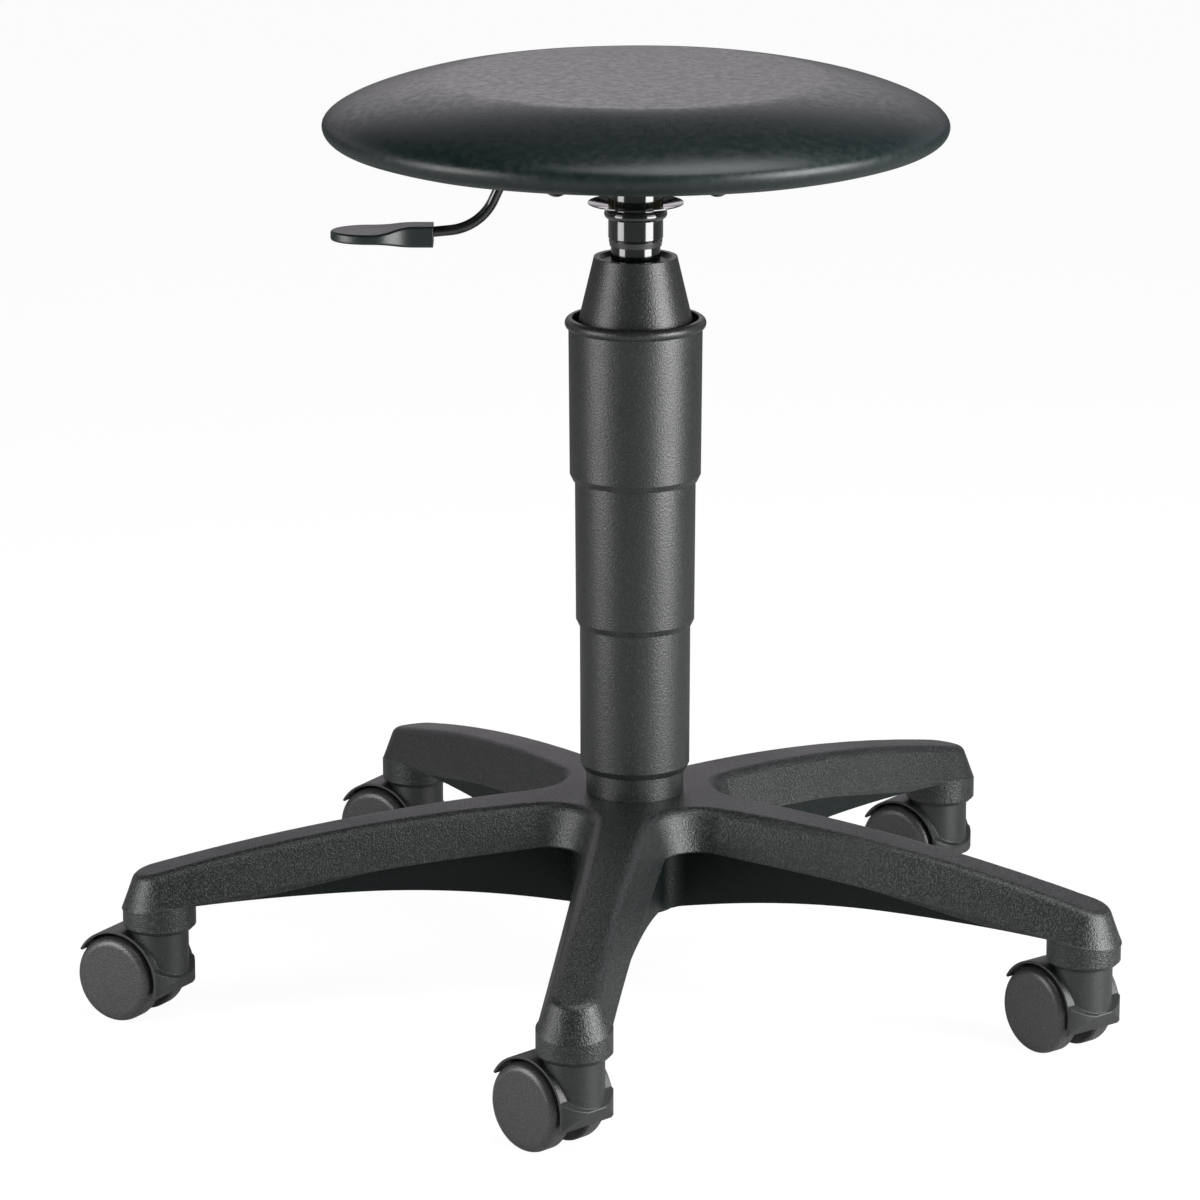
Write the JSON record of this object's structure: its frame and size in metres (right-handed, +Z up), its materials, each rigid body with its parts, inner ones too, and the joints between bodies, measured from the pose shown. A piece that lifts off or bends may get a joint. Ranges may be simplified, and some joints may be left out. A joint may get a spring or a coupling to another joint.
{
  "type": "swivel stool",
  "caption": "Round-seat swivel work stool with a gas lift, telescopic column covers, a height lever and a star base on twin-wheel casters.",
  "frame": {"origin": "on the floor, under the column axis", "axes": "+Z up the column, +X to the right and +Y to the back, with the height lever along -X"},
  "size_m": [0.5917, 0.5773, 0.539],
  "materials": {
    "base_nylon": "moulded black nylon, fine grain",
    "cover_plastic": "satin black plastic",
    "caster_plastic": "satin black plastic",
    "wheel_plastic": "satin black plastic",
    "seat_foam": "black integral-skin foam, fine leather grain",
    "black_steel": "gloss black",
    "bright_steel": "ground",
    "brass": "turned",
    "bush_plastic": "natural",
    "buffer_rubber": "matt",
    "plywood": "raw plywood",
    "grip_plastic": "satin black plastic"
  },
  "bodies": {
    "base": {"star_base": "base_nylon", "caster_grip_rings": "bright_steel", "column_tube": "black_steel", "guide_bush": "bush_plastic", "column_end_plate": "bright_steel", "thrust_lower_race": "bright_steel", "cover_foot_ring": "cover_plastic", "cover_lower_sleeve": "cover_plastic"},
    "rod": {"piston_rod": "bright_steel", "piston": "bright_steel", "piston_ring": "bush_plastic", "thrust_upper_race": "bright_steel", "thrust_balls": "bright_steel", "rod_buffer": "buffer_rubber", "rod_clip": "bright_steel"},
    "lift": {"gas_cylinder": "black_steel", "cylinder_end_guide": "bright_steel", "cylinder_valve": "brass", "seat_plate": "black_steel", "plate_socket": "black_steel", "lever_block": "black_steel", "lever_pin": "bright_steel", "seat_board": "plywood", "seat_tee_nuts": "bright_steel", "seat_screws": "black_steel", "seat_cushion": "seat_foam", "cover_top_sleeve": "cover_plastic", "cover_cone": "cover_plastic"},
    "mid_cover": {"cover_mid_sleeve": "cover_plastic"},
    "lever": {"lever_rod": "black_steel", "lever_grip": "grip_plastic"},
    "release": {"release_pin": "bright_steel"},
    "caster_front": {"caster_front_housing": "caster_plastic", "caster_front_stem": "bright_steel", "caster_front_axle": "bright_steel"},
    "caster_front_near": {"caster_front_near_wheel": "wheel_plastic"},
    "caster_front_far": {"caster_front_far_wheel": "wheel_plastic"},
    "caster_right": {"caster_right_housing": "caster_plastic", "caster_right_stem": "bright_steel", "caster_right_axle": "bright_steel"},
    "caster_right_near": {"caster_right_near_wheel": "wheel_plastic"},
    "caster_right_far": {"caster_right_far_wheel": "wheel_plastic"},
    "caster_rear_right": {"caster_rear_right_housing": "caster_plastic", "caster_rear_right_stem": "bright_steel", "caster_rear_right_axle": "bright_steel"},
    "caster_rear_right_near": {"caster_rear_right_near_wheel": "wheel_plastic"},
    "caster_rear_right_far": {"caster_rear_right_far_wheel": "wheel_plastic"},
    "caster_rear_left": {"caster_rear_left_housing": "caster_plastic", "caster_rear_left_stem": "bright_steel", "caster_rear_left_axle": "bright_steel"},
    "caster_rear_left_near": {"caster_rear_left_near_wheel": "wheel_plastic"},
    "caster_rear_left_far": {"caster_rear_left_far_wheel": "wheel_plastic"},
    "caster_left": {"caster_left_housing": "caster_plastic", "caster_left_stem": "bright_steel", "caster_left_axle": "bright_steel"},
    "caster_left_near": {"caster_left_near_wheel": "wheel_plastic"},
    "caster_left_far": {"caster_left_far_wheel": "wheel_plastic"}
  },
  "joints": [
    {"name": "seat_swivel", "type": "hinge", "parent": "base", "child": "rod", "pos_m": [0, 0, 0.06], "axis": [0, 0, 1], "continuous": true},
    {"name": "seat_height", "type": "slide", "parent": "rod", "child": "lift", "axis": [0, 0, 1], "range_m": [-0.13, 0]},
    {"name": "mid_cover_slide", "type": "slide", "parent": "base", "child": "mid_cover", "axis": [0, 0, 1], "range_m": [-0.065, 0]},
    {"name": "lever_pull", "type": "hinge", "parent": "lift", "child": "lever", "pos_m": [-0.023, 0, 0.48], "axis": [0, 1, 0], "range_deg": [0, 8], "stiffness_Nm_per_rad": 8, "springref_deg": -2.86},
    {"name": "release_pin_travel", "type": "slide", "parent": "lift", "child": "release", "axis": [0, 0, -1], "range_m": [0, 0.0033]},
    {"name": "caster_front_swivel", "type": "hinge", "parent": "base", "child": "caster_front", "pos_m": [-0.03376, -0.27493, 0.0546], "axis": [0, 0, 1], "continuous": true},
    {"name": "caster_front_near_spin", "type": "hinge", "parent": "caster_front", "child": "caster_front_near", "pos_m": [-0.04759, -0.2612, 0.025], "axis": [0.7046, 0.7096, 0], "continuous": true},
    {"name": "caster_front_far_spin", "type": "hinge", "parent": "caster_front", "child": "caster_front_far", "pos_m": [-0.04759, -0.2612, 0.025], "axis": [0.7046, 0.7096, 0], "continuous": true},
    {"name": "caster_right_swivel", "type": "hinge", "parent": "base", "child": "caster_right", "pos_m": [0.25105, -0.11707, 0.0546], "axis": [0, 0, 1], "continuous": true},
    {"name": "caster_right_near_spin", "type": "hinge", "parent": "caster_right", "child": "caster_right_near", "pos_m": [0.23878, -0.10191, 0.025], "axis": [0.7771, 0.6293, 0], "continuous": true},
    {"name": "caster_right_far_spin", "type": "hinge", "parent": "caster_right", "child": "caster_right_far", "pos_m": [0.23878, -0.10191, 0.025], "axis": [0.7771, 0.6293, 0], "continuous": true},
    {"name": "caster_rear_right_swivel", "type": "hinge", "parent": "base", "child": "caster_rear_right", "pos_m": [0.18891, 0.20258, 0.0546], "axis": [0, 0, 1], "continuous": true},
    {"name": "caster_rear_right_near_spin", "type": "hinge", "parent": "caster_rear_right", "child": "caster_rear_right_near", "pos_m": [0.17314, 0.21405, 0.025], "axis": [0.5878, 0.809, 0], "continuous": true},
    {"name": "caster_rear_right_far_spin", "type": "hinge", "parent": "caster_rear_right", "child": "caster_rear_right_far", "pos_m": [0.17314, 0.21405, 0.025], "axis": [0.5878, 0.809, 0], "continuous": true},
    {"name": "caster_rear_left_swivel", "type": "hinge", "parent": "base", "child": "caster_rear_left", "pos_m": [-0.13429, 0.24227, 0.0546], "axis": [0, 0, 1], "continuous": true},
    {"name": "caster_rear_left_near_spin", "type": "hinge", "parent": "caster_rear_left", "child": "caster_rear_left_near", "pos_m": [-0.15118, 0.25202, 0.025], "axis": [0.5, 0.866, 0], "continuous": true},
    {"name": "caster_rear_left_far_spin", "type": "hinge", "parent": "caster_rear_left", "child": "caster_rear_left_far", "pos_m": [-0.15118, 0.25202, 0.025], "axis": [0.5, 0.866, 0], "continuous": true},
    {"name": "caster_left_swivel", "type": "hinge", "parent": "base", "child": "caster_left", "pos_m": [-0.27191, -0.05285, 0.0546], "axis": [0, 0, 1], "continuous": true},
    {"name": "caster_left_near_spin", "type": "hinge", "parent": "caster_left", "child": "caster_left_near", "pos_m": [-0.28871, -0.04296, 0.025], "axis": [0.5075, 0.8616, 0], "continuous": true},
    {"name": "caster_left_far_spin", "type": "hinge", "parent": "caster_left", "child": "caster_left_far", "pos_m": [-0.28871, -0.04296, 0.025], "axis": [0.5075, 0.8616, 0], "continuous": true}
  ],
  "couplings": [
    {"joint": "mid_cover_slide", "follows": "seat_height", "ratio": 0.5},
    {"joint": "release_pin_travel", "follows": "lever_pull", "m_per_rad": 0.023}
  ]
}
